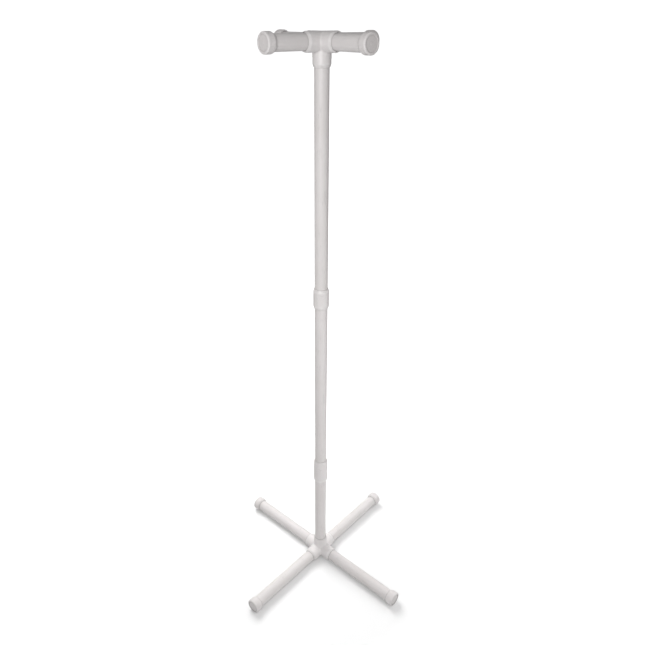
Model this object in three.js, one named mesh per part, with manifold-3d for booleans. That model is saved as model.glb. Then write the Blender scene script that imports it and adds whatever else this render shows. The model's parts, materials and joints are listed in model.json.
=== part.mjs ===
// A free-standing pipe stand. Four capped legs lie on the floor in a five-way cross fitting, a post of
// three pipes and two couplings stands in it, and a second cross, upside down, holds four capped arms.
// Every joint is a pipe pushed into a socket. Millimetres, +Z up, the origin on the floor under the post.
import * as THREE from "three";
import { mergeVertices } from "three/addons/utils/BufferGeometryUtils.js";
import Module from "manifold-3d";

const wasm = await Module();
wasm.setup();

// ---- driving dimensions ----

// Pipe
const pipeDiameter = 33.4;
const pipeWall = 3.4;
const fitGap = 0.3; // round a pipe in its socket, and between its end and the socket's floor

// Stand
const axisRise = 1474; // from the legs' axis up to the arms' axis
const legReach = 294; // from the post's axis to the outer face of a leg's cap
const armReach = 149; // from the post's axis to the outer face of an arm's cap
const topTurn = -8.4; // degrees that the upper cross stands turned from the lower one

// Mouth of every socket: the wall tapers down to a thin lip
const mouthTaper = 6;
const mouthLip = 0.9;

// Cross fittings
const crossWall = 3.3;
const crossSocketDepth = 26;
const crossShoulder = 6; // from the edge of one socket to the floor of the next one round the corner

// Couplings
const couplingWall = 3.1;
const couplingStopWidth = 4;
const lowerCouplingLength = 76;
const lowerCouplingHeight = 345; // of its middle, above the floor
const upperCouplingLength = 54;
const upperCouplingHeight = 908;

// End caps
const capWall = 3.7;
const capSocketDepth = 17;
const capFloor = 5;
const capRimRadius = 3;
const capRimWidth = 5.5;
const capDishDepth = 0.8; // how far the middle of the face lies behind its rim

// Round surfaces
const facets = 24; // a multiple of four, so that one flat lies under each leg
const rimSteps = 3;

// ---- sizes that follow ----

const pipeRadius = pipeDiameter / 2;
const pipeBore = pipeRadius - pipeWall;
const socketRadius = pipeRadius + fitGap;
const lipRadius = socketRadius + mouthLip;
const crossRadius = socketRadius + crossWall;
const couplingRadius = socketRadius + couplingWall;
const capRadius = socketRadius + capWall;
const capLength = capSocketDepth + capFloor;

const crossCore = socketRadius + crossShoulder; // from a cross's middle to the floor of a socket
const crossMouth = crossCore + crossSocketDepth;
const pipeStart = crossCore + fitGap; // where a pipe ends inside a cross
const capSeat = capFloor + fitGap; // from a cap's face back to the end of its pipe

const legAxisHeight = capRadius; // the caps are the widest pieces, so they are what touches the floor
const armAxisHeight = legAxisHeight + axisRise;
const stopGap = couplingStopWidth / 2 + fitGap; // from a coupling's middle to the end of a pipe in it

const quarterTurn = Math.PI / 2;
const sides = { right: 0, back: 1, left: 2, front: 3 }; // quarter turns from +X

// ---- shapes ----

// A round solid about +Z. Its corners are [radius, z], with the outer side listed upwards. The radius is
// measured to the flats, so that a true round surface of that radius lies inside the solid.
function turned(corners) {
  const toCorner = 1 / Math.cos(Math.PI / facets);
  const outline = corners.map(([radius, z]) => new THREE.Vector2(radius * toCorner, z));
  return new THREE.LatheGeometry(outline, facets, Math.PI / facets).rotateX(quarterTurn);
}

function pipeShape(length) {
  return turned([
    [pipeRadius, 0],
    [pipeRadius, length],
    [pipeBore, length],
    [pipeBore, 0],
    [pipeRadius, 0],
  ]);
}

// A coupling about its own middle, open at both ends, with a ring inside that stops the pipes.
function couplingShape(length) {
  const end = length / 2;
  const stop = couplingStopWidth / 2;
  return turned([
    [lipRadius, -end],
    [couplingRadius, mouthTaper - end],
    [couplingRadius, end - mouthTaper],
    [lipRadius, end],
    [socketRadius, end],
    [socketRadius, stop],
    [pipeBore, stop],
    [pipeBore, -stop],
    [socketRadius, -stop],
    [socketRadius, -end],
    [lipRadius, -end],
  ]);
}

// A cap with its mouth at z = 0 and its face at the top: a rounded rim round a slightly dished middle.
function capShape() {
  const rim = [];
  for (let step = 0; step <= rimSteps; step += 1) {
    const angle = (quarterTurn * step) / rimSteps;
    const radius = capRadius - capRimRadius * (1 - Math.cos(angle));
    rim.push([radius, capLength - capRimRadius * (1 - Math.sin(angle))]);
  }
  const dishRadius = capRadius - capRimWidth;
  return turned([
    [0, capSocketDepth],
    [socketRadius, capSocketDepth],
    [socketRadius, 0],
    [lipRadius, 0],
    [capRadius, mouthTaper],
    ...rim,
    [dishRadius, capLength],
    [dishRadius, capLength - capDishDepth],
    [0, capLength - capDishDepth],
  ]);
}

function toSolid(geometry) {
  geometry.deleteAttribute("normal");
  geometry.deleteAttribute("uv");
  const merged = mergeVertices(geometry, 1e-4);
  const vertProperties = merged.attributes.position.array;
  const triVerts = new Uint32Array(merged.index.array);
  return new wasm.Manifold(new wasm.Mesh({ numProp: 3, vertProperties, triVerts }));
}

function toGeometry(solid) {
  const mesh = solid.getMesh();
  const geometry = new THREE.BufferGeometry();
  geometry.setAttribute("position", new THREE.BufferAttribute(mesh.vertProperties, 3));
  geometry.setIndex(new THREE.BufferAttribute(mesh.triVerts, 1));
  geometry.computeVertexNormals();
  return geometry;
}

// A five-way cross about its own middle, with four sockets level and the fifth upwards. Each outline
// runs from a closed end, or from the far mouth of a straight run, to the mouth that it ends in.
function crossShape() {
  const overrun = 1; // cutters pass the mouths by this much
  const outerHalf = [
    [crossRadius, crossMouth - mouthTaper],
    [lipRadius, crossMouth],
    [0, crossMouth],
  ];
  const innerHalf = [
    [pipeBore, crossCore],
    [socketRadius, crossCore],
    [socketRadius, crossMouth + overrun],
    [0, crossMouth + overrun],
  ];
  const mirrored = (half) => half.map(([radius, z]) => [radius, -z]).reverse();
  const run = (half) => turned([...mirrored(half), ...half]);
  const branch = (half) => turned([[0, 0], [half[0][0], 0], ...half]);
  const alongX = (geometry) => geometry.rotateY(quarterTurn);
  const alongY = (geometry) => geometry.rotateY(quarterTurn).rotateZ(quarterTurn);

  const outside = toSolid(alongX(run(outerHalf)))
    .add(toSolid(alongY(run(outerHalf))))
    .add(toSolid(branch(outerHalf)));
  const hollow = toSolid(alongX(run(innerHalf)))
    .add(toSolid(alongY(run(innerHalf))))
    .add(toSolid(branch(innerHalf)));
  return toGeometry(outside.subtract(hollow));
}

// ---- finishes ----

const finishes = {
  pipe: { color: 0xd8d5d3, roughness: 0.42, metalness: 0 },
  fitting: { color: 0xdcdad8, roughness: 0.34, metalness: 0 },
  cap: { color: 0xd6d3d2, roughness: 0.38, metalness: 0 },
};

function piece(name, geometry, finish) {
  const mesh = new THREE.Mesh(geometry, new THREE.MeshStandardMaterial(finishes[finish]));
  mesh.name = name;
  return mesh;
}

// ---- assembly ----

// A capped pipe lying along +X of its group, from inside a cross to the outer face of its cap.
function spoke(name, reach) {
  const pipe = piece(`${name}_pipe`, pipeShape(reach - capSeat - pipeStart), "pipe");
  pipe.rotation.y = quarterTurn;
  pipe.position.x = pipeStart;
  const cap = piece(`${name}_cap`, capShape(), "cap");
  cap.rotation.y = quarterTurn;
  cap.position.x = reach - capLength;
  return new THREE.Group().add(pipe, cap);
}

// Four spokes, a quarter turn apart, in a cross.
function spider(crossName, spokeName, reach) {
  const group = new THREE.Group().add(piece(crossName, crossShape(), "fitting"));
  for (const [side, quarters] of Object.entries(sides)) {
    const arm = spoke(`${spokeName}_${side}`, reach);
    arm.rotation.z = quarters * quarterTurn;
    group.add(arm);
  }
  return group;
}

// An upright pipe of the post between two heights above the floor.
function postPipe(name, bottom, top) {
  const pipe = piece(name, pipeShape(top - bottom), "pipe");
  pipe.position.z = bottom;
  return pipe;
}

function coupling(name, length, height) {
  const sleeve = piece(name, couplingShape(length), "fitting");
  sleeve.position.z = height;
  return sleeve;
}

const base = spider("base_cross", "leg", legReach);
base.position.z = legAxisHeight;

// The upper cross is the same fitting turned over, so that its fifth socket points down at the post.
const top = spider("top_cross", "arm", armReach);
top.position.z = armAxisHeight;
top.rotation.z = THREE.MathUtils.degToRad(topTurn);
top.getObjectByName("top_cross").rotation.x = Math.PI;

const post = new THREE.Group().add(
  postPipe("lower_post_pipe", legAxisHeight + pipeStart, lowerCouplingHeight - stopGap),
  coupling("lower_coupling", lowerCouplingLength, lowerCouplingHeight),
  postPipe("middle_post_pipe", lowerCouplingHeight + stopGap, upperCouplingHeight - stopGap),
  coupling("upper_coupling", upperCouplingLength, upperCouplingHeight),
  postPipe("upper_post_pipe", upperCouplingHeight + stopGap, armAxisHeight - pipeStart),
);

const stand = new THREE.Group().add(base, post, top);
stand.name = "pipe_stand";

export default stand;
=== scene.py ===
# %% [markdown]
# # A white pipe stand
#
# The object is a free-standing stand made of white plastic pipe. Four capped legs lie on the floor in a
# five-way cross fitting, a post of three pipes and two couplings stands in it, and a second cross, upside
# down, holds four short capped arms. Nothing is glued: every joint is a pipe pushed into a socket.
#
# The engineering model of the stand is loaded first. It is plain and faceted, but every piece of it has its
# real size and place, so this lesson never guesses a position: it reads them from that model and puts a
# finely made piece where each plain one is.

# %% Load the stand's frame
import json
import math

import bmesh
import bpy
from mathutils import Matrix, Vector


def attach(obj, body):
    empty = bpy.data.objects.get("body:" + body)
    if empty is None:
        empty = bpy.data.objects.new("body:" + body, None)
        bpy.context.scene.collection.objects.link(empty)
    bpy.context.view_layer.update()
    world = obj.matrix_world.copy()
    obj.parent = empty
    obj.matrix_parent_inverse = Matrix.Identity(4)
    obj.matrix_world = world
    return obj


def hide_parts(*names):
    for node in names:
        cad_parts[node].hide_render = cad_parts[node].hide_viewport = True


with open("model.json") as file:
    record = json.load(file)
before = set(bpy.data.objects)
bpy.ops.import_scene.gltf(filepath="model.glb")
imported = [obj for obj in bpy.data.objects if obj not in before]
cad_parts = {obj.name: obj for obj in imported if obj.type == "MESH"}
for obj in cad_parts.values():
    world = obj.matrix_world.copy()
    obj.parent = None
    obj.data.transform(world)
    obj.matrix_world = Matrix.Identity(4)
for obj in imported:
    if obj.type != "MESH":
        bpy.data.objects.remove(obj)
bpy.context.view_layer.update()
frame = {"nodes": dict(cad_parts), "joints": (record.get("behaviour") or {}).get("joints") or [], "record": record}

# %% [markdown]
# ## Sizes
#
# A node's vertices say how far it reaches in any direction, so `span` can measure a leg along X and an arm
# along its own slanted direction in the same way. Blender's own dimensions wouldn't do for the arms, because
# they only go along X, Y and Z. The joints help too: their axes say which way each arm points.

# %% Measure the frame
MM = 0.001
UP = Vector((0, 0, 1))


def span(node, direction):
    """How far a node starts and ends along a direction, in metres."""
    reach = [vertex.co.dot(direction) for vertex in frame["nodes"][node].data.vertices]
    return min(reach), max(reach)


def half_width(node, direction):
    start, end = span(node, direction)
    return (end - start) / 2


def middle(node, direction):
    start, end = span(node, direction)
    return (start + end) / 2


def joint_axis(name):
    """The direction in which a pipe is pulled out of its socket."""
    joint = next(row for row in frame["joints"] if row["name"] == name)
    return Vector(joint["axis"]).normalized()


SIDES = ("right", "back", "left", "front")
ALONG_X = Vector((1, 0, 0))
arm_direction = joint_axis("arm_right_pull")
top_turn = math.atan2(arm_direction.y, arm_direction.x)

leg_axis = middle("leg_right_cap", UP)
arm_axis = middle("arm_right_cap", UP)
pipe_radius = half_width("upper_post_pipe", ALONG_X)
cap_radius = half_width("leg_right_cap", UP)
cap_length = 2 * half_width("leg_right_cap", ALONG_X)
cross_mouth = span("base_cross", ALONG_X)[1]
cross_radius = leg_axis - span("base_cross", UP)[0]
coupling_radius = half_width("upper_coupling", ALONG_X)
pipe_in_cross = cross_mouth - span("leg_right_pipe", ALONG_X)[0]
pipe_in_cap = span("leg_right_pipe", ALONG_X)[1] - span("leg_right_cap", ALONG_X)[0]
print("pipe radius", round(pipe_radius / MM, 2), "mm, top cross turned", round(math.degrees(top_turn), 1))

# %% [markdown]
# ## Thin parts
#
# Walls, lips and roundings are too thin to be worth reading from the model's vertices, so they are named
# here as a maker would write them on a drawing. Blender counts in metres, and a length of 3.4 is easier to
# judge in millimetres, which is why each is multiplied by `MM`. A pipe has 0.3 mm of room in its socket, and
# the socket widens a little more at its mouth. That narrow gap is what makes two pieces look like two.

# %% Name the thin parts
PIPE_WALL = 3.4 * MM
SLIDE_ROOM = 0.3 * MM  # round a pipe in its socket
MOUTH_TAPER = 6 * MM
MOUTH_LIP = 0.9 * MM
LEAD_IN = 0.65 * MM  # how much a socket widens at its mouth, to guide a pipe in
LEAD_IN_DEPTH = 1.8 * MM
CAP_SOCKET = 17 * MM
CAP_RIM_ROUND = 3 * MM
CAP_RIM_WIDTH = 5.5 * MM
CAP_DISH = 0.8 * MM
STOP_HALF = 2 * MM  # half of the ring that stops the pipes inside a coupling
SHOULDER_ROUND = 2 * MM  # where a mouth's taper meets the full width
FINE_ROUND = 0.35 * MM
LIP_ROUND = 0.12 * MM

pipe_bore = pipe_radius - PIPE_WALL
socket_radius = pipe_radius + SLIDE_ROOM
lip_radius = socket_radius + MOUTH_LIP
print("socket radius", round(socket_radius / MM, 2), "mm, lip", round(lip_radius / MM, 2), "mm")

# %% [markdown]
# ## Turned shapes
#
# Pipes, caps and couplings are all round, and so is each arm of a cross. On a lathe they'd be cut to an
# outline, and Blender's Spin does the same: a single vertex is extruded from corner to corner, and the
# outline is spun about the Z axis. A cylinder with its edges bevelled would also do for a pipe, but an
# outline lets each corner have its own radius, and a moulded corner is never sharp. `rounded` puts an arc
# in place of each corner that has a radius. It also puts a point a little way off, for a ring in which the
# wear that is painted on a corner can fade: without it, the wear would run on to the next corner.

# %% Draw and spin an outline
SPIN_STEPS = 96  # a multiple of eight, so that rings meet where two arms cross
ARC_STEPS = 5
RING_GAP = 2.2 * MM
ROOM_FOR_TWO = 2.5 * RING_GAP  # a stretch this long takes a ring near each end
SAME_PLACE = 0.002 * MM  # vertices closer than this are merged


def rounded(corners):
    """Points of an outline. A corner is (radius, height) or (radius, height, size of its rounding)."""
    stretches = []
    for index, corner in enumerate(corners):
        here = Vector(corner[:2])
        size = corner[2] if len(corner) > 2 else 0
        if not size:
            stretches.append([here])
            continue
        to_last = (Vector(corners[index - 1][:2]) - here).normalized()
        to_next = (Vector(corners[(index + 1) % len(corners)][:2]) - here).normalized()
        half_angle = to_last.angle(to_next) / 2
        centre = here + (to_last + to_next).normalized() * size / math.sin(half_angle)
        first = here + to_last * size / math.tan(half_angle) - centre
        last = here + to_next * size / math.tan(half_angle) - centre
        sweep = math.pi - 2 * half_angle
        arc = []
        for step in range(ARC_STEPS + 1):
            share = step / ARC_STEPS
            arm = first * math.sin((1 - share) * sweep) + last * math.sin(share * sweep)
            arc.append(centre + arm / math.sin(sweep))
        stretches.append(arc)

    points = []
    for arc, following in zip(stretches, stretches[1:] + [None]):
        points += arc
        if following is None:
            break
        start, end = arc[-1], following[0]
        way = end - start
        if way.length > ROOM_FOR_TWO:
            if len(arc) > 1:
                points.append(start + way.normalized() * RING_GAP)
            if len(following) > 1:
                points.append(end - way.normalized() * RING_GAP)
        elif way.length > RING_GAP and len(arc) + len(following) > 2:
            points.append((start + end) / 2)
    return points


def start_point(name):
    """A new mesh with one vertex at the origin, in edit mode."""
    bpy.ops.object.select_all(action="DESELECT")
    bpy.ops.mesh.primitive_plane_add(size=MM)
    piece = bpy.context.object
    piece.name = name
    piece.data.name = name
    bpy.ops.object.mode_set(mode="EDIT")
    bpy.ops.mesh.select_mode(type="VERT")
    bpy.ops.mesh.select_all(action="SELECT")
    bpy.ops.mesh.merge(type="CENTER")
    return piece


def tidy_surface():
    bpy.ops.mesh.select_all(action="SELECT")
    bpy.ops.mesh.remove_doubles(threshold=SAME_PLACE)
    bpy.ops.mesh.normals_make_consistent(inside=False)


def turn(name, corners, closed=True):
    """Spins an outline about Z. A closed outline makes a ring or a tube, an open one ends where it ends."""
    points = rounded(corners)
    if closed:
        points.append(points[0])
    piece = start_point(name)
    here = Vector((0, 0, 0))
    for index, point in enumerate(points):
        there = Vector((point.x, 0, point.y))
        if index == 0:
            bpy.ops.transform.translate(value=there)
        else:
            bpy.ops.mesh.extrude_region_move(TRANSFORM_OT_translate={"value": there - here})
        here = there
    bpy.ops.mesh.select_all(action="SELECT")
    bpy.ops.mesh.spin(steps=SPIN_STEPS, angle=math.tau, center=(0, 0, 0), axis=(0, 0, 1))
    tidy_surface()
    bpy.ops.object.mode_set(mode="OBJECT")
    return piece


# %% [markdown]
# ## Marks that a finish can read
#
# A finish needs to know where on a piece it is. The stand's own coordinates won't do, because the pipes lie
# in seven directions and the lines that the extruder left run along each pipe. So each vertex keeps its
# place on the upright piece in an attribute called `bench`, written before the piece is put in the stand.
# A second attribute, `wear`, is 1 on the corners that get knocked. A third is 1 in the seams and inner
# corners that are painted darker, partly for dust and partly as painted shade in the gaps between pieces, and
# a fourth, `tucked`, is 1 where a pipe hides in a socket. All four are made before any is filled in, because
# Blender may move the ones that are there when it makes room for another.

# %% Write the marks
MARK_REACH = 1.6 * MM
CUT_OFF = 0.2  # taken off a bell curve's foot, so that it ends instead of running on


def closeness(place, corners):
    """1 at a corner, falling to 0 about two millimetres away."""
    nearest = min(((place - Vector(corner)).length for corner in corners), default=1)
    bell = math.exp(-((nearest / MARK_REACH) ** 2))
    return max(0, (1 + CUT_OFF) * bell - CUT_OFF)


def add_marks(piece, worn=(), shade_and_dust=(), tucked=()):
    """worn lists knocked corners and the second list the corners painted darker for dust and painted shade, both
    as (radius, height); tucked lists (low, high) stretches of a length.
    """
    attributes = piece.data.attributes
    attributes.new("bench", "FLOAT_VECTOR", "POINT")
    for name in ("wear", "shade_and_dust", "tucked"):
        attributes.new(name, "FLOAT", "POINT")
    for vertex in piece.data.vertices:
        place = Vector((vertex.co.xy.length, vertex.co.z))
        attributes["bench"].data[vertex.index].vector = vertex.co
        attributes["wear"].data[vertex.index].value = closeness(place, worn)
        attributes["shade_and_dust"].data[vertex.index].value = closeness(place, shade_and_dust)
        attributes["tucked"].data[vertex.index].value = any(low < place.y < high for low, high in tucked)


SMOOTH_UP_TO = math.radians(32)


def put(piece, matrix):
    """Places a finished piece, and leaves its object at the origin with its place in its mesh."""
    bpy.ops.object.select_all(action="DESELECT")
    bpy.context.view_layer.objects.active = piece
    piece.select_set(True)
    piece.matrix_world = matrix
    bpy.ops.object.transform_apply(location=True, rotation=True, scale=True)
    bpy.ops.object.shade_smooth_by_angle(angle=SMOOTH_UP_TO)


def copy_of(piece, name):
    """A copy with its own mesh."""
    twin = piece.copy()
    twin.data = piece.data.copy()
    twin.name = name
    twin.data.name = name
    bpy.context.scene.collection.objects.link(twin)
    return twin


def lying(axis_height, quarters, turned, start):
    """Lays an upright piece along one of the four level directions, from a distance off the post's axis."""
    about_post = Matrix.Rotation(turned + quarters * math.pi / 2, 4, "Z")
    return about_post @ Matrix.Translation((start, 0, axis_height)) @ Matrix.Rotation(math.pi / 2, 4, "Y")


# %% [markdown]
# ## Pipes
#
# A pipe is cut to length with a saw and its edges are cleaned with a knife, so both rims get a small
# chamfer. Extra rings go where the pipe enters a socket: the pipe is painted darker there, partly for dust and
# partly as painted shade in the gap at the socket's mouth, the hidden stretch ends there, and an attribute can
# only change from one ring to the next. Legs are alike and arms are alike, so each is made once and copied.

# %% Make a pipe
KNIFE_CUT = 0.5 * MM
TUCK_STEP = 0.7 * MM


def make_pipe(name, length, tuck_low, tuck_high):
    """An upright pipe from z = 0. tuck_low and tuck_high are how much of each end hides in a socket."""
    mouths = (tuck_low, length - tuck_high)
    rings = [mouth + step for mouth in mouths for step in (-RING_GAP, -TUCK_STEP, TUCK_STEP, RING_GAP)]
    outline = [(pipe_radius - KNIFE_CUT, 0), (pipe_radius, KNIFE_CUT)]
    outline += [(pipe_radius, height) for height in rings]
    outline += [(pipe_radius, length - KNIFE_CUT), (pipe_radius - KNIFE_CUT, length)]
    outline += [(pipe_bore + KNIFE_CUT, length), (pipe_bore, length - KNIFE_CUT)]
    outline += [(pipe_bore, KNIFE_CUT), (pipe_bore + KNIFE_CUT, 0)]
    pipe = turn(name, outline)
    rims = [(pipe_radius, 0), (pipe_radius, length)]
    # Where the pipe enters a socket it is painted darker: partly dust, partly painted shade in the gap at the
    # mouth.
    seams = [(pipe_radius, mouth) for mouth in mouths]
    add_marks(pipe, worn=rims, shade_and_dust=seams, tucked=[(-MM, mouths[0]), (mouths[1], length + MM)])
    return pipe


pieces = {}
coupling_stop_gap = span("middle_post_pipe", UP)[0] - middle("lower_coupling", UP)
into_lower = half_width("lower_coupling", UP) - coupling_stop_gap
into_upper = half_width("upper_coupling", UP) - coupling_stop_gap
post_tucks = {
    "lower_post_pipe": (pipe_in_cross, into_lower),
    "middle_post_pipe": (into_lower, into_upper),
    "upper_post_pipe": (into_upper, pipe_in_cross),
}
for name, (tuck_low, tuck_high) in post_tucks.items():
    bottom, top = span(name, UP)
    pieces[name] = make_pipe("white_" + name, top - bottom, tuck_low, tuck_high)
    put(pieces[name], Matrix.Translation((0, 0, bottom)))
    print(name, "is", round((top - bottom) / MM, 1), "mm long")

# %% Lay the legs and the arms
SPIDERS = {
    "leg": (leg_axis, 0, ALONG_X),
    "arm": (arm_axis, top_turn, arm_direction),
}
for kind, (height, turned, direction) in SPIDERS.items():
    start, end = span(f"{kind}_right_pipe", direction)
    first = make_pipe(f"white_{kind}_pipe", end - start, pipe_in_cross, pipe_in_cap)
    for quarters, side in enumerate(SIDES):
        node = f"{kind}_{side}_pipe"
        pieces[node] = copy_of(first, "white_" + node)
        put(pieces[node], lying(height, quarters, turned, start))
    bpy.data.objects.remove(first)
    print(kind, "pipes are", round((end - start) / MM, 1), "mm long")

# %% [markdown]
# ## End caps
#
# A cap is a cup that slips over the end of a pipe. Its mouth tapers to a thin lip, the rim of its face is
# well rounded, and the face itself lies a little lower than the rim, with a flat button in the middle where
# the plastic entered the mould. The whole cap is one outline that starts and ends on the axis.

# %% Make a cap and push one on each pipe
BUTTON_RADIUS = 3.2 * MM
BUTTON_RISE = 0.2 * MM


def make_cap(name):
    """An upright cap with its mouth at z = 0 and its face at the top."""
    dish_radius = cap_radius - CAP_RIM_WIDTH
    dish = cap_length - CAP_DISH
    cap = turn(
        name,
        [
            (0, CAP_SOCKET),
            (socket_radius, CAP_SOCKET, FINE_ROUND),
            (socket_radius, LEAD_IN_DEPTH, LIP_ROUND),
            (socket_radius + LEAD_IN, 0, LIP_ROUND),
            (lip_radius, 0, LIP_ROUND),
            (cap_radius, MOUTH_TAPER, SHOULDER_ROUND),
            (cap_radius, cap_length, CAP_RIM_ROUND),
            (dish_radius + CAP_DISH, cap_length, FINE_ROUND),
            (dish_radius, dish, FINE_ROUND),
            (BUTTON_RADIUS, dish),
            (BUTTON_RADIUS - BUTTON_RISE, dish + BUTTON_RISE),
            (0, dish + BUTTON_RISE),
        ],
        closed=False,
    )
    rim = (cap_radius - CAP_RIM_ROUND / 3, cap_length - CAP_RIM_ROUND / 3)
    # The edge of the dished face and the foot of the mouth's lead-in are painted darker: dust and painted shade in
    # those recesses.
    add_marks(cap, worn=[rim, (lip_radius, 0)], shade_and_dust=[(dish_radius, dish), (socket_radius, LEAD_IN_DEPTH)])
    return cap


first_cap = make_cap("white_cap")
for kind, (height, turned, direction) in SPIDERS.items():
    start = span(f"{kind}_right_cap", direction)[0]
    for quarters, side in enumerate(SIDES):
        node = f"{kind}_{side}_cap"
        pieces[node] = copy_of(first_cap, "white_" + node)
        put(pieces[node], lying(height, quarters, turned, start))
bpy.data.objects.remove(first_cap)
print("caps are", round(cap_length / MM, 1), "mm long and", round(2 * cap_radius / MM, 1), "mm across")

# %% [markdown]
# ## Couplings
#
# A coupling is a sleeve with a socket at each end and a ring inside, which stops both pipes. It comes out
# of a mould in two halves, and the halves leave a fine raised line down each side. Bump could fake the line,
# but it would vanish at the outline. So the line is real geometry: two cuts, 0.7 mm apart, make a strip of
# faces, and the strip is pushed out by a hair.

# %% Raise a mould line
LINE_HALF = 0.35 * MM
LINE_RISE = 0.12 * MM
ALMOST = 0.99  # a flat face's centre lies a little inside the round
UPRIGHT = 0.1  # how much an upright face's normal may rise
ON_CUT = 0.001 * MM  # a vertex this close to a cut counts as on it


def raise_mould_line(piece, across, is_outside):
    """Raises the faces within LINE_HALF of the plane through the origin that has the normal `across`."""
    bpy.ops.object.select_all(action="DESELECT")
    bpy.context.view_layer.objects.active = piece
    piece.select_set(True)
    bpy.ops.object.mode_set(mode="EDIT")
    for side in (-1, 1):
        bpy.ops.mesh.select_all(action="SELECT")
        bpy.ops.mesh.bisect(plane_co=across * LINE_HALF * side, plane_no=across, threshold=ON_CUT)
    bpy.ops.mesh.select_mode(type="FACE")
    bpy.ops.mesh.select_all(action="DESELECT")
    mesh = bmesh.from_edit_mesh(piece.data)
    strip = 0
    for face in mesh.faces:
        centre = face.calc_center_median()
        face.select = abs(centre.dot(across)) < LINE_HALF and is_outside(face, centre)
        strip += face.select
    mesh.select_flush_mode()
    bmesh.update_edit_mesh(piece.data)
    bpy.ops.mesh.extrude_region_shrink_fatten(TRANSFORM_OT_shrink_fatten={"value": LINE_RISE})
    bpy.ops.object.mode_set(mode="OBJECT")
    return strip


def make_coupling(name, length):
    """A coupling about its own middle."""
    end = length / 2
    sleeve = turn(
        name,
        [
            (lip_radius, -end, LIP_ROUND),
            (coupling_radius, MOUTH_TAPER - end, SHOULDER_ROUND),
            (coupling_radius, end - MOUTH_TAPER, SHOULDER_ROUND),
            (lip_radius, end, LIP_ROUND),
            (socket_radius + LEAD_IN, end, LIP_ROUND),
            (socket_radius, end - LEAD_IN_DEPTH, LIP_ROUND),
            (socket_radius, STOP_HALF),
            (pipe_bore, STOP_HALF, FINE_ROUND),
            (pipe_bore, -STOP_HALF, FINE_ROUND),
            (socket_radius, -STOP_HALF),
            (socket_radius, LEAD_IN_DEPTH - end, LIP_ROUND),
            (socket_radius + LEAD_IN, -end, LIP_ROUND),
        ],
    )
    lips = [(lip_radius, end), (lip_radius, -end)]
    shoulders = [(coupling_radius, end - MOUTH_TAPER), (coupling_radius, MOUTH_TAPER - end)]
    # The foot of each mouth's lead-in is painted darker: dust and painted shade in the gap around the pipe.
    seams = [(socket_radius, end - LEAD_IN_DEPTH), (socket_radius, LEAD_IN_DEPTH - end)]
    add_marks(sleeve, worn=lips + shoulders, shade_and_dust=seams)
    on_barrel = coupling_radius * ALMOST
    strip = raise_mould_line(
        sleeve, ALONG_X, lambda face, centre: centre.xy.length > on_barrel and abs(face.normal.z) < UPRIGHT
    )
    print(name, "mould line has", strip, "faces")
    return sleeve


for name in ("lower_coupling", "upper_coupling"):
    pieces[name] = make_coupling("white_" + name, 2 * half_width(name, UP))
    put(pieces[name], Matrix.Translation((0, 0, middle(name, UP))))

# %% [markdown]
# ## The five-way cross
#
# The cross is five equal tubes that meet in one point. A boolean union would join them, but it leaves
# ragged faces along the joins, and a fillet won't run over those. Equal tubes have a kinder property:
# they meet exactly on the planes that halve the angle between them. So one arm is turned from the middle
# outwards, with its outer skin, tapered mouth, socket, shoulder and throat. A copy is bisected by the
# planes between it and its neighbours, turned into place, and merged with the others ring to ring. The
# valleys are then clean chains of edges, and Bevel turns them into even fillets.

# %% Turn one arm of the cross
VALLEY_FILLET = 2.4 * MM
VALLEY_STEPS = 6
MERGE_REACH = 0.01 * MM


def turn_arm():
    """One arm along Z, open at the middle of the cross, where both its skins end at z = 0."""
    core = cross_mouth - pipe_in_cross - SLIDE_ROOM
    arm = turn(
        "cross_arm",
        [
            (cross_radius, 0),
            (cross_radius, cross_mouth - MOUTH_TAPER, SHOULDER_ROUND),
            (lip_radius, cross_mouth, LIP_ROUND),
            (socket_radius + LEAD_IN, cross_mouth, LIP_ROUND),
            (socket_radius, cross_mouth - LEAD_IN_DEPTH, LIP_ROUND),
            (socket_radius, core),
            (pipe_bore, core, FINE_ROUND),
            (pipe_bore, 0),
        ],
        closed=False,
    )
    # The foot of the mouth's lead-in is painted darker: dust and painted shade in the gap around the pipe.
    seam = (socket_radius, cross_mouth - LEAD_IN_DEPTH)
    add_marks(arm, worn=[(lip_radius, cross_mouth), (cross_radius, cross_mouth - MOUTH_TAPER)], shade_and_dust=[seam])
    return arm


def cut_arm(arm, name, neighbours, matrix):
    """A copy of the arm, kept on its own side of the plane towards each neighbour, and turned into place."""
    twin = copy_of(arm, name)
    bpy.ops.object.select_all(action="DESELECT")
    bpy.context.view_layer.objects.active = twin
    twin.select_set(True)
    bpy.ops.object.mode_set(mode="EDIT")
    for neighbour in neighbours:
        bpy.ops.mesh.select_all(action="SELECT")
        keep = (UP - Vector(neighbour)).normalized()
        bpy.ops.mesh.bisect(plane_co=(0, 0, 0), plane_no=keep, clear_inner=True, threshold=ON_CUT)
    bpy.ops.object.mode_set(mode="OBJECT")
    twin.matrix_world = matrix
    bpy.ops.object.transform_apply(location=True, rotation=True, scale=True)
    return twin


def in_valley(place):
    """Whether a place on the cross is as far along one arm's axis as along another's."""
    _, large, largest = sorted((abs(place.x), abs(place.y), place.z))
    return largest - large < MERGE_REACH and place.length > cross_radius * ALMOST


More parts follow.
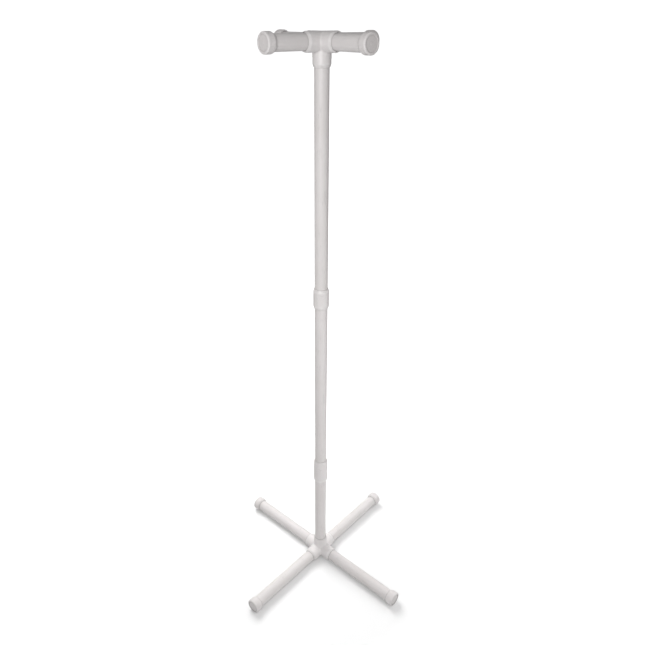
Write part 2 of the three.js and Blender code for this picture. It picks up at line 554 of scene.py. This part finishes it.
def make_cross(name):
    """The cross about its own middle, with its fifth socket upwards."""
    arm = turn_arm()
    level_neighbours = ((0, 1, 0), (0, -1, 0), (-1, 0, 0))  # left, right, and the fifth socket above
    post_neighbours = ((1, 0, 0), (-1, 0, 0), (0, 1, 0), (0, -1, 0))
    arms = [cut_arm(arm, name, post_neighbours, Matrix.Identity(4))]
    for quarters in range(4):
        arms.append(cut_arm(arm, name, level_neighbours, lying(0, quarters, 0, 0)))
    bpy.data.objects.remove(arm)

    bpy.ops.object.select_all(action="DESELECT")
    for part in arms:
        part.select_set(True)
    bpy.context.view_layer.objects.active = arms[0]
    bpy.ops.object.join()
    cross = bpy.context.object
    bpy.ops.object.mode_set(mode="EDIT")
    bpy.ops.mesh.select_all(action="SELECT")
    bpy.ops.mesh.remove_doubles(threshold=MERGE_REACH)
    bpy.ops.mesh.normals_make_consistent(inside=False)

    bpy.ops.mesh.select_mode(type="EDGE")
    bpy.ops.mesh.select_all(action="DESELECT")
    mesh = bmesh.from_edit_mesh(cross.data)
    valley = 0
    for edge in mesh.edges:
        ends = [vertex.co for vertex in edge.verts]
        edge.select = all(in_valley(place) for place in [*ends, (ends[0] + ends[1]) / 2])
        valley += edge.select
    bmesh.update_edit_mesh(cross.data)
    bpy.ops.mesh.bevel(
        offset=VALLEY_FILLET, offset_type="OFFSET", segments=VALLEY_STEPS, affect="EDGES", clamp_overlap=False
    )
    bpy.ops.object.mode_set(mode="OBJECT")
    print(name, "has", valley, "valley edges and", len(cross.data.polygons), "faces")
    return cross


# %% Fit both crosses
def outside_of_cross(face, centre):
    """Whether a face is on the outer skin of a level arm."""
    from_axis = min(Vector((centre.y, centre.z)).length, Vector((centre.x, centre.z)).length)
    return from_axis > lip_radius and abs(face.normal.z) < UPRIGHT


first_cross = make_cross("white_cross")
strip = raise_mould_line(first_cross, UP, outside_of_cross)
print("the cross's mould line has", strip, "faces")
CROSS_PLACES = {
    "base_cross": Matrix.Translation((0, 0, leg_axis)),
    "top_cross": Matrix.Translation((0, 0, arm_axis))
    @ Matrix.Rotation(top_turn, 4, "Z")
    @ Matrix.Rotation(math.pi, 4, "X"),
}
for name, place in CROSS_PLACES.items():
    pieces[name] = copy_of(first_cross, "white_" + name)
    put(pieces[name], place)
bpy.data.objects.remove(first_cross)

# %% [markdown]
# ## Handing the pieces over
#
# The stand comes apart, so every pipe moves with its own body, and a cap moves with the pipe that it sits
# on. The frame's record says which body and which material slot each plain node has. A fine piece takes
# over both from the node it stands for, in one loop, and the plain node is hidden. Writing the same three
# lines for each piece by hand would also work, but with 23 pieces one of them would end up wrong.

# %% Hand the pieces to the frame
SLOTS = {row["node"]: row["material_slot"] for row in frame["record"]["subparts"]}
BODY_OF = {node: body for body, nodes in frame["record"]["behaviour"]["bodies"].items() for node in nodes}
for node, piece in pieces.items():
    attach(piece, BODY_OF[node])
    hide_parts(node)
print(len(pieces), "fine pieces stand for", len(frame["nodes"]), "plain ones")

# %% [markdown]
# ## Finishes
#
# White plastic looks like nothing when it is one flat colour. What the eye reads as plastic is small: the
# skin is a little dimpled where it was moulded, drawn into fine lines where it was extruded, a little
# greyer here and there, rubbed at its corners, and scratched where fittings were pushed on. Several finishes
# share those effects, so each effect is a node group of its own, which takes a place on the piece and gives
# back a height, a colour or a mask. The shader stays in each material, with its own values.

# %% Build nodes in few words
def add_node(tree, kind, feeds=None, **settings):
    """Adds a node. feeds gives each input a value, or the output of another node to be linked to it."""
    made = tree.nodes.new(kind)
    for setting, value in settings.items():
        setattr(made, setting, value)
    for socket, value in (feeds or {}).items():
        if isinstance(value, bpy.types.NodeSocket):
            tree.links.new(value, made.inputs[socket])
        else:
            made.inputs[socket].default_value = value
    return made


def maths(tree, operation, *values):
    """The result of a Math node."""
    return add_node(tree, "ShaderNodeMath", dict(enumerate(values)), operation=operation).outputs[0]


def remap(tree, value, low, high, to_low=0.0, to_high=1.0):
    """A value moved from one range to another, with soft ends."""
    feeds = {"Value": value, "From Min": low, "From Max": high, "To Min": to_low, "To Max": to_high}
    kind = "ShaderNodeMapRange"
    return add_node(tree, kind, feeds, interpolation_type="SMOOTHSTEP").outputs["Result"]


def blend(tree, share, first, second):
    """A colour between two others."""
    feeds = {"Factor": share, "A": first, "B": second}
    return add_node(tree, "ShaderNodeMix", feeds, data_type="RGBA").outputs["Result"]


SOCKET_KINDS = {"number": "NodeSocketFloat", "place": "NodeSocketVector", "colour": "NodeSocketColor"}


def start_group(name, inputs, outputs):
    """An empty node group. inputs and outputs are pairs of a name and a kind."""
    tree = bpy.data.node_groups.new(name, "ShaderNodeTree")
    for in_out, sockets in (("INPUT", inputs), ("OUTPUT", outputs)):
        for socket_name, kind in sockets:
            tree.interface.new_socket(name=socket_name, in_out=in_out, socket_type=SOCKET_KINDS[kind])
    return tree, tree.nodes.new("NodeGroupInput").outputs, tree.nodes.new("NodeGroupOutput").inputs


# %% [markdown]
# ## Skins
#
# Moulded plastic shows `dimples`, a fine orange peel over a broader one. Extruded pipe shows `draw_lines`,
# because the die drags along it: noise that is squeezed along the pipe's length does that. `tone_drift`
# shifts the white a little over a few centimetres, as real batches do.

# %% Make the skin groups
def make_dimples():
    tree, given, result = start_group(
        "dimples", [("Place", "place"), ("Scale", "number")], [("Height", "number")]
    )
    fine_feeds = {"Vector": given["Place"], "Scale": given["Scale"], "Detail": 2.0}
    broad_scale = maths(tree, "MULTIPLY", given["Scale"], 0.31)
    broad_feeds = {"Vector": given["Place"], "Scale": broad_scale, "Detail": 1.0}
    fine = add_node(tree, "ShaderNodeTexNoise", fine_feeds)
    broad = add_node(tree, "ShaderNodeTexNoise", broad_feeds)
    both = maths(tree, "MULTIPLY_ADD", fine.outputs["Fac"], 0.4, broad.outputs["Fac"])
    tree.links.new(both, result["Height"])
    return tree


def make_draw_lines():
    tree, given, result = start_group(
        "draw_lines", [("Bench", "place"), ("Scale", "number")], [("Height", "number")]
    )
    squeezed = add_node(tree, "ShaderNodeMapping", {"Vector": given["Bench"], "Scale": (1, 1, 0.009)})
    feeds = {"Vector": squeezed.outputs[0], "Scale": given["Scale"], "Detail": 3.0, "Roughness": 0.6}
    lines = add_node(tree, "ShaderNodeTexNoise", feeds)
    tree.links.new(lines.outputs["Fac"], result["Height"])
    return tree


def make_tone_drift():
    tree, given, result = start_group(
        "tone_drift",
        [("Place", "place"), ("White", "colour"), ("Aged", "colour"), ("Amount", "number")],
        [("Colour", "colour")],
    )
    slow = add_node(tree, "ShaderNodeTexNoise", {"Vector": given["Place"], "Scale": 9.0, "Detail": 3.0})
    share = maths(tree, "MULTIPLY", remap(tree, slow.outputs["Fac"], 0.35, 0.7), given["Amount"])
    tree.links.new(blend(tree, share, given["White"], given["Aged"]), result["Colour"])
    return tree


dimples = make_dimples()
draw_lines = make_draw_lines()
tone_drift = make_tone_drift()
print("skin groups:", dimples.name, draw_lines.name, tone_drift.name)

# %% [markdown]
# ## Use
#
# `hairlines` are thin scratches. They come from a noise whose value passes through its middle along thin
# curves, kept only in patches. `rubbed` finds the corners in the wear attribute and breaks them up, so that
# a corner isn't rubbed all along. `floor_dust` is a grey film on whatever lies within a few millimetres of
# the floor. A texture drawn by hand would need an image, and these need nothing but the piece itself.

# %% Make the groups for use
def make_hairlines():
    tree, given, result = start_group(
        "hairlines",
        [("Bench", "place"), ("Stretch", "place"), ("Width", "number"), ("Amount", "number")],
        [("Mask", "number")],
    )
    stretch = {0: given["Bench"], 1: given["Stretch"]}
    pulled = add_node(tree, "ShaderNodeVectorMath", stretch, operation="MULTIPLY")
    feeds = {"Vector": pulled.outputs[0], "Scale": 1.0, "Detail": 2.0, "Distortion": 0.6}
    curves = add_node(tree, "ShaderNodeTexNoise", feeds)
    away = maths(tree, "ABSOLUTE", maths(tree, "SUBTRACT", curves.outputs["Fac"], 0.5))
    thin = maths(tree, "SUBTRACT", 1.0, maths(tree, "DIVIDE", away, given["Width"]))
    thin = maths(tree, "MAXIMUM", thin, 0.0)
    patches = add_node(tree, "ShaderNodeTexNoise", {"Vector": given["Bench"], "Scale": 34.0, "Detail": 1.0})
    kept = remap(tree, patches.outputs["Fac"], 0.5, 0.62)
    mask = maths(tree, "MULTIPLY", maths(tree, "MULTIPLY", thin, kept), given["Amount"])
    tree.links.new(mask, result["Mask"])
    return tree


def make_rubbed():
    tree, given, result = start_group(
        "rubbed", [("Place", "place"), ("Wear", "number"), ("Amount", "number")], [("Mask", "number")]
    )
    chips = add_node(tree, "ShaderNodeTexNoise", {"Vector": given["Place"], "Scale": 620.0, "Detail": 4.0})
    edge = maths(tree, "MULTIPLY", given["Wear"], remap(tree, chips.outputs["Fac"], 0.32, 0.66))
    tree.links.new(maths(tree, "MULTIPLY", edge, given["Amount"]), result["Mask"])
    return tree


def make_floor_dust():
    tree, given, result = start_group(
        "floor_dust", [("Place", "place"), ("Reach", "number"), ("Amount", "number")], [("Mask", "number")]
    )
    height = add_node(tree, "ShaderNodeSeparateXYZ", {"Vector": given["Place"]}).outputs["Z"]
    low = maths(tree, "SUBTRACT", 1.0, maths(tree, "DIVIDE", height, given["Reach"]))
    low = add_node(tree, "ShaderNodeClamp", {"Value": low}).outputs[0]
    specks = add_node(tree, "ShaderNodeTexNoise", {"Vector": given["Place"], "Scale": 130.0, "Detail": 6.0})
    film = maths(tree, "MULTIPLY", low, remap(tree, specks.outputs["Fac"], 0.3, 0.7, 0.3, 1.0))
    tree.links.new(maths(tree, "MULTIPLY", film, given["Amount"]), result["Mask"])
    return tree


hairlines = make_hairlines()
rubbed = make_rubbed()
floor_dust = make_floor_dust()
print("use groups:", hairlines.name, rubbed.name, floor_dust.name)

# %% [markdown]
# ## Three whites
#
# All of the stand is the same white, but three ways of making it give three surfaces. Pipe is extruded, so
# it is satin, with draw lines and the ring marks of fittings pushed on and pulled off. Crosses and couplings
# are moulded, and shinier. Caps are moulded too, and their dished face keeps fine rings from the turned
# mould; the face is painted in a darker copy of the cap's white, as painted shade in the dish. Each white
# has a slightly yellower one that it drifts towards. The seams and inner corners of all three are painted
# darker, partly for dust and partly as painted shade in the gaps between pieces, most of all near the floor,
# so `finish_shader`, which every finish ends with, adds it last.

# %% Start a finish
PIPE_WHITE = (0.72, 0.692, 0.688, 1)
PIPE_AGED = (0.66, 0.628, 0.615, 1)
FITTING_WHITE = (0.745, 0.718, 0.714, 1)
FITTING_AGED = (0.69, 0.66, 0.65, 1)
CAP_WHITE = (0.72, 0.69, 0.688, 1)
CAP_AGED = (0.66, 0.625, 0.612, 1)
# A cap's dished face is a darker copy of the cap's white: painted shade for the dish.
CAP_FACE_SHADED_WHITE = (0.69, 0.66, 0.657, 1)
CAP_FACE_SHADED_AGED = (0.62, 0.588, 0.578, 1)
MARK_GREY = (0.36, 0.35, 0.345, 1)
RUBBED_WHITE = (0.8, 0.79, 0.785, 1)
# Seams and inner corners are painted towards this grey: partly dust, partly painted shade in the gaps, more of it
# near the floor.
SHADE_AND_DUST_GREY = (0.27, 0.26, 0.25, 1)
SHADE_AND_DUST_BY_FLOOR = 0.65
SHADE_AND_DUST_ABOVE = 0.22
SHADE_AND_DUST_THINS = 0.06  # above the floor, in metres
SHADE_AND_DUST_IS_THIN = 0.3


def place_group(tree, group, feeds):
    """The outputs of a shared group that is placed in a material."""
    made = tree.nodes.new("ShaderNodeGroup")
    made.node_tree = group
    for socket, value in feeds.items():
        if isinstance(value, bpy.types.NodeSocket):
            tree.links.new(value, made.inputs[socket])
        else:
            made.inputs[socket].default_value = value
    return made.outputs


def attribute(tree, name):
    return add_node(tree, "ShaderNodeAttribute", attribute_name=name, attribute_type="GEOMETRY").outputs


def start_finish(name, gloss_ior):
    """A material with a plain Principled shader, and the places that its patterns read."""
    material = bpy.data.materials.new(name)
    material.use_nodes = True
    tree = material.node_tree
    shader = tree.nodes["Principled BSDF"]
    shader.inputs["IOR"].default_value = gloss_ior
    places = {
        "Place": add_node(tree, "ShaderNodeTexCoord").outputs["Object"],
        "Bench": attribute(tree, "bench")["Vector"],
        "Wear": attribute(tree, "wear")["Fac"],
        "Tucked": attribute(tree, "tucked")["Fac"],
        "ShadeAndDust": attribute(tree, "shade_and_dust")["Fac"],
    }
    return material, tree, shader, places


def used(tree, colour, marks, strength, worn):
    """The colour with grey marks, and with bare plastic where it is rubbed."""
    marked = blend(tree, maths(tree, "MULTIPLY", marks, strength), colour, MARK_GREY)
    return blend(tree, worn, marked, RUBBED_WHITE)


def finish_shader(tree, shader, at, colour, roughness, height, depth):
    """Feeds the shader, with the seams and corners painted darker, for dust and as painted shade. depth is how
    deep a height of 1 is, in metres.
    """
    # Painted shade and dust in the seams and inner corners, thicker near the floor.
    above_floor = add_node(tree, "ShaderNodeSeparateXYZ", {"Vector": at["Place"]}).outputs["Z"]
    amount = remap(tree, above_floor, SHADE_AND_DUST_THINS, SHADE_AND_DUST_IS_THIN, SHADE_AND_DUST_BY_FLOOR, SHADE_AND_DUST_ABOVE)
    colour = blend(tree, maths(tree, "MULTIPLY", at["ShadeAndDust"], amount), colour, SHADE_AND_DUST_GREY)
    tree.links.new(colour, shader.inputs["Base Color"])
    tree.links.new(roughness, shader.inputs["Roughness"])
    relief = add_node(tree, "ShaderNodeBump", {"Height": height, "Distance": depth})
    tree.links.new(relief.outputs["Normal"], shader.inputs["Normal"])


# %% Make the three finishes
TURNED_RING = 0.55 * MM  # between two rings of a turned mould
DRAWN_DEPTH = 0.08 * MM
MOULDED_DEPTH = 0.045 * MM


def make_pipe_finish():
    material, tree, shader, at = start_finish("extruded_pipe", 1.5)
    feeds = {"Place": at["Place"], "White": PIPE_WHITE, "Aged": PIPE_AGED, "Amount": 0.6}
    colour = place_group(tree, tone_drift, feeds)["Colour"]
    lines = place_group(tree, draw_lines, {"Bench": at["Bench"], "Scale": 620.0})["Height"]
    along = {"Bench": at["Bench"], "Stretch": (260.0, 260.0, 14.0), "Width": 0.02, "Amount": 0.8}
    around = {"Bench": at["Bench"], "Stretch": (14.0, 14.0, 700.0), "Width": 0.05, "Amount": 0.9}
    scratches = place_group(tree, hairlines, along)["Mask"]
    rings = maths(tree, "MULTIPLY", place_group(tree, hairlines, around)["Mask"], at["Tucked"])
    worn = place_group(tree, rubbed, {"Place": at["Place"], "Wear": at["Wear"], "Amount": 0.6})["Mask"]
    dust = place_group(tree, floor_dust, {"Place": at["Place"], "Reach": 0.012, "Amount": 0.5})["Mask"]
    marks = maths(tree, "MAXIMUM", maths(tree, "MAXIMUM", scratches, rings), dust)
    colour = blend(tree, maths(tree, "MULTIPLY", remap(tree, lines, 0.4, 0.7), 0.45), colour, PIPE_AGED)
    colour = used(tree, colour, marks, 0.45, worn)
    satin = remap(tree, lines, 0.3, 0.7, 0.34, 0.48)
    roughness = maths(tree, "MULTIPLY_ADD", marks, 0.2, satin)
    height = maths(tree, "SUBTRACT", lines, maths(tree, "MULTIPLY", marks, 0.5))
    finish_shader(tree, shader, at, colour, roughness, height, DRAWN_DEPTH)
    return material


def make_fitting_finish():
    material, tree, shader, at = start_finish("moulded_fitting", 1.53)
    feeds = {"Place": at["Place"], "White": FITTING_WHITE, "Aged": FITTING_AGED, "Amount": 0.5}
    colour = place_group(tree, tone_drift, feeds)["Colour"]
    skin = place_group(tree, dimples, {"Place": at["Place"], "Scale": 1300.0})["Height"]
    across = {"Bench": at["Bench"], "Stretch": (30.0, 30.0, 130.0), "Width": 0.012, "Amount": 0.7}
    scratches = place_group(tree, hairlines, across)["Mask"]
    worn = place_group(tree, rubbed, {"Place": at["Place"], "Wear": at["Wear"], "Amount": 0.5})["Mask"]
    dust = place_group(tree, floor_dust, {"Place": at["Place"], "Reach": 0.014, "Amount": 0.55})["Mask"]
    marks = maths(tree, "MAXIMUM", scratches, dust)
    colour = used(tree, colour, marks, 0.4, worn)
    gloss = remap(tree, skin, 0.4, 1.0, 0.34, 0.44)
    roughness = maths(tree, "MULTIPLY_ADD", maths(tree, "MAXIMUM", marks, worn), 0.22, gloss)
    height = maths(tree, "SUBTRACT", skin, maths(tree, "MULTIPLY", marks, 0.4))
    finish_shader(tree, shader, at, colour, roughness, height, MOULDED_DEPTH)
    return material


def make_cap_finish():
    material, tree, shader, at = start_finish("moulded_cap", 1.53)
    feeds = {"Place": at["Place"], "White": CAP_WHITE, "Aged": CAP_AGED, "Amount": 0.6}
    colour = place_group(tree, tone_drift, feeds)["Colour"]
    # The dished face takes a darker copy of the white, as painted shade in the dish.
    feeds = {"Place": at["Place"], "White": CAP_FACE_SHADED_WHITE, "Aged": CAP_FACE_SHADED_AGED, "Amount": 0.8}
    shaded_face_colour = place_group(tree, tone_drift, feeds)["Colour"]
    skin = place_group(tree, dimples, {"Place": at["Place"], "Scale": 1500.0})["Height"]
    split = add_node(tree, "ShaderNodeSeparateXYZ", {"Vector": at["Bench"]}).outputs
    flat_place = add_node(tree, "ShaderNodeCombineXYZ", {"X": split["X"], "Y": split["Y"]}).outputs[0]
    from_axis = add_node(tree, "ShaderNodeVectorMath", {0: flat_place}, operation="LENGTH").outputs["Value"]
    ripple = maths(tree, "SINE", maths(tree, "MULTIPLY", from_axis, math.tau / TURNED_RING))
    at_face = remap(tree, split["Z"], cap_length - 2 * CAP_DISH, cap_length - 1.5 * CAP_DISH)
    inner_radius = cap_radius - CAP_RIM_WIDTH
    in_rim = remap(tree, from_axis, inner_radius, inner_radius + MM, 1.0, 0.0)
    on_face = maths(tree, "MULTIPLY", at_face, in_rim)
    turned_rings = maths(tree, "MULTIPLY", maths(tree, "MULTIPLY", ripple, on_face), 0.25)
    colour = blend(tree, on_face, colour, shaded_face_colour)
    across = {"Bench": at["Bench"], "Stretch": (150.0, 40.0, 60.0), "Width": 0.02, "Amount": 0.9}
    scratches = place_group(tree, hairlines, across)["Mask"]
    worn = place_group(tree, rubbed, {"Place": at["Place"], "Wear": at["Wear"], "Amount": 0.55})["Mask"]
    dust = place_group(tree, floor_dust, {"Place": at["Place"], "Reach": 0.018, "Amount": 0.9})["Mask"]
    marks = maths(tree, "MAXIMUM", scratches, dust)
    colour = used(tree, colour, marks, 0.5, worn)
    gloss = remap(tree, skin, 0.4, 1.0, 0.36, 0.46)
    roughness = maths(tree, "MULTIPLY_ADD", maths(tree, "MAXIMUM", marks, worn), 0.22, gloss)
    relief = maths(tree, "ADD", skin, turned_rings)
    height = maths(tree, "SUBTRACT", relief, maths(tree, "MULTIPLY", marks, 0.4))
    finish_shader(tree, shader, at, colour, roughness, height, MOULDED_DEPTH)
    return material


# %% Give every piece its finish
FINISHES = {"pipe": make_pipe_finish(), "fitting": make_fitting_finish(), "cap": make_cap_finish()}
for node, piece in pieces.items():
    piece.data.materials.clear()
    piece.data.materials.append(FINISHES[SLOTS[node]])
print("finishes:", [material.name for material in FINISHES.values()])

# %% [markdown]
# ## Floor and light
#
# The stand is lit as on a white paper sweep. A large soft light beside the camera shapes the post and the
# arms, and a dim grey room fills the rest. Every light has a honeycomb grid, which keeps it on the part of
# the stand that it is there for. `low_back`, behind and to the left, lights the legs from above, throws
# their soft shadows forwards to the right, and leaves the arms alone. `side` and `right_back` lift the right
# of the lower post and of the legs. `high_back` lights the back of the upper half. Lights from behind graze
# the plastic and would give it bright rims, so those two aren't seen in reflections.
#
# Paper that is exposed to be pure white would throw a lot of light back up, and the undersides would lose
# their shape. A shader can tell what the camera sees from what lights the stand, so this floor is duller
# for the second. It also glows a little for the camera, and fully where the lights don't reach.

# %% Lay the floor
scene = bpy.context.scene
scene.view_settings.view_transform = "Standard"
FLOOR_SIZE = 40
SHADOWS_END = 0.32  # from the post, in metres
GLOW_IS_FULL = 0.62
NEAR_GLOW = 0.07
FULL_GLOW = 1.05
SEEN_WHITE = (0.87, 0.87, 0.87, 1)
LIT_WHITE = (0.7, 0.7, 0.7, 1)

bpy.ops.object.select_all(action="DESELECT")
bpy.ops.mesh.primitive_plane_add(size=FLOOR_SIZE)
floor = bpy.context.object
floor.name = "floor"
paper = bpy.data.materials.new("white_paper")
paper.use_nodes = True
tree = paper.node_tree
tree.nodes.remove(tree.nodes["Principled BSDF"])
place = add_node(tree, "ShaderNodeTexCoord").outputs["Object"]
from_post = add_node(tree, "ShaderNodeVectorMath", {0: place}, operation="LENGTH").outputs["Value"]
seen = add_node(tree, "ShaderNodeLightPath").outputs["Is Camera Ray"]
white = blend(tree, seen, LIT_WHITE, SEEN_WHITE)
sheet = add_node(tree, "ShaderNodeBsdfDiffuse", {"Color": white}).outputs[0]
rising = remap(tree, from_post, SHADOWS_END, GLOW_IS_FULL, NEAR_GLOW, FULL_GLOW)
strength = maths(tree, "MULTIPLY", rising, seen)
glow = add_node(tree, "ShaderNodeEmission", {"Strength": strength}).outputs[0]
both = add_node(tree, "ShaderNodeAddShader", {0: sheet, 1: glow}).outputs[0]
tree.links.new(both, tree.nodes["Material Output"].inputs["Surface"])
floor.data.materials.append(paper)
print("floor laid,", FLOOR_SIZE, "m across")

# %% Fill the room
ROOM_GREY = 0.39
world = bpy.data.worlds.new("studio")
scene.world = world
world.use_nodes = True
tree = world.node_tree
room = tree.nodes["Background"]
room.inputs["Color"].default_value = (ROOM_GREY, ROOM_GREY, ROOM_GREY, 1)
backdrop = add_node(tree, "ShaderNodeBackground", {"Color": (1, 1, 1, 1), "Strength": FULL_GLOW})
seen = add_node(tree, "ShaderNodeLightPath").outputs["Is Camera Ray"]
both = add_node(tree, "ShaderNodeMixShader", {0: seen, 1: room.outputs[0], 2: backdrop.outputs[0]}).outputs[0]
tree.links.new(both, tree.nodes["World Output"].inputs["Surface"])
print("room grey", ROOM_GREY)

# %% Hang the lights
CAMERA_TURN = math.radians(41.5)


def soft_light(name, to_left, distance, height, aim_height, size, grid, power):
    """A square soft light. to_left is its angle to the left of the camera, as the stand sees them."""
    lamp = bpy.data.lights.new(name, "AREA")
    lamp.shape = "SQUARE"
    lamp.size = size
    lamp.spread = math.radians(grid)
    lamp.energy = power
    holder = bpy.data.objects.new(name, lamp)
    scene.collection.objects.link(holder)
    angle = CAMERA_TURN - math.radians(to_left)
    holder.location = (distance * math.sin(angle), -distance * math.cos(angle), height)
    aim = Vector((0, 0, aim_height)) - holder.location
    holder.rotation_euler = aim.to_track_quat("-Z", "Y").to_euler()
    holder.visible_camera = False
    return holder


soft_light("key", to_left=15, distance=1.5, height=1.4, aim_height=1.15, size=0.9, grid=110, power=5.9)
soft_light("side", to_left=-50, distance=1.3, height=0.75, aim_height=0.45, size=0.8, grid=80, power=1.25)
soft_light(
    "right_back", to_left=-110, distance=1.1, height=0.85, aim_height=0.1, size=0.8, grid=80, power=0.7
)
low_back = soft_light(
    "low_back", to_left=147, distance=0.95, height=1.32, aim_height=0, size=1.0, grid=80, power=4.6
)
high_back = soft_light(
    "high_back", to_left=180, distance=1.6, height=1.45, aim_height=1.25, size=0.9, grid=75, power=3.2
)
for light in (low_back, high_back):
    light.visible_glossy = False
print("lights:", [light.name for light in bpy.data.lights])

# %% [markdown]
# ## Camera
#
# The camera stands in front of one corner of the stand, at the height of the arms, and looks down at the
# floor, so the arms are seen level and the legs from above. It is held in the hand, so it rolls a little. Its
# place is built up from the post as one would do it in the studio: roll the camera, tilt it down, walk
# backwards and up, and turn about the post. A Track To constraint would be another way, but it can't roll.

# %% Set the camera
CAMERA_DISTANCE = 1.344
CAMERA_HEIGHT = 1.537
CAMERA_TO_RIGHT = 0.0038
CAMERA_DOWN = math.radians(27.48)
CAMERA_ROLL = math.radians(0.27)
SENSOR_WIDTH = 36  # in millimetres, like the lens
LENS = 32.62
camera = bpy.data.objects.new("camera", bpy.data.cameras.new("camera"))
scene.collection.objects.link(camera)
scene.camera = camera
camera.data.sensor_width = SENSOR_WIDTH
camera.data.lens = LENS
camera.matrix_world = (
    Matrix.Rotation(CAMERA_TURN, 4, "Z")
    @ Matrix.Translation((CAMERA_TO_RIGHT, -CAMERA_DISTANCE, CAMERA_HEIGHT))
    @ Matrix.Rotation(math.pi / 2 - CAMERA_DOWN, 4, "X")
    @ Matrix.Rotation(CAMERA_ROLL, 4, "Z")
)
print("camera at", [round(value, 3) for value in camera.location])
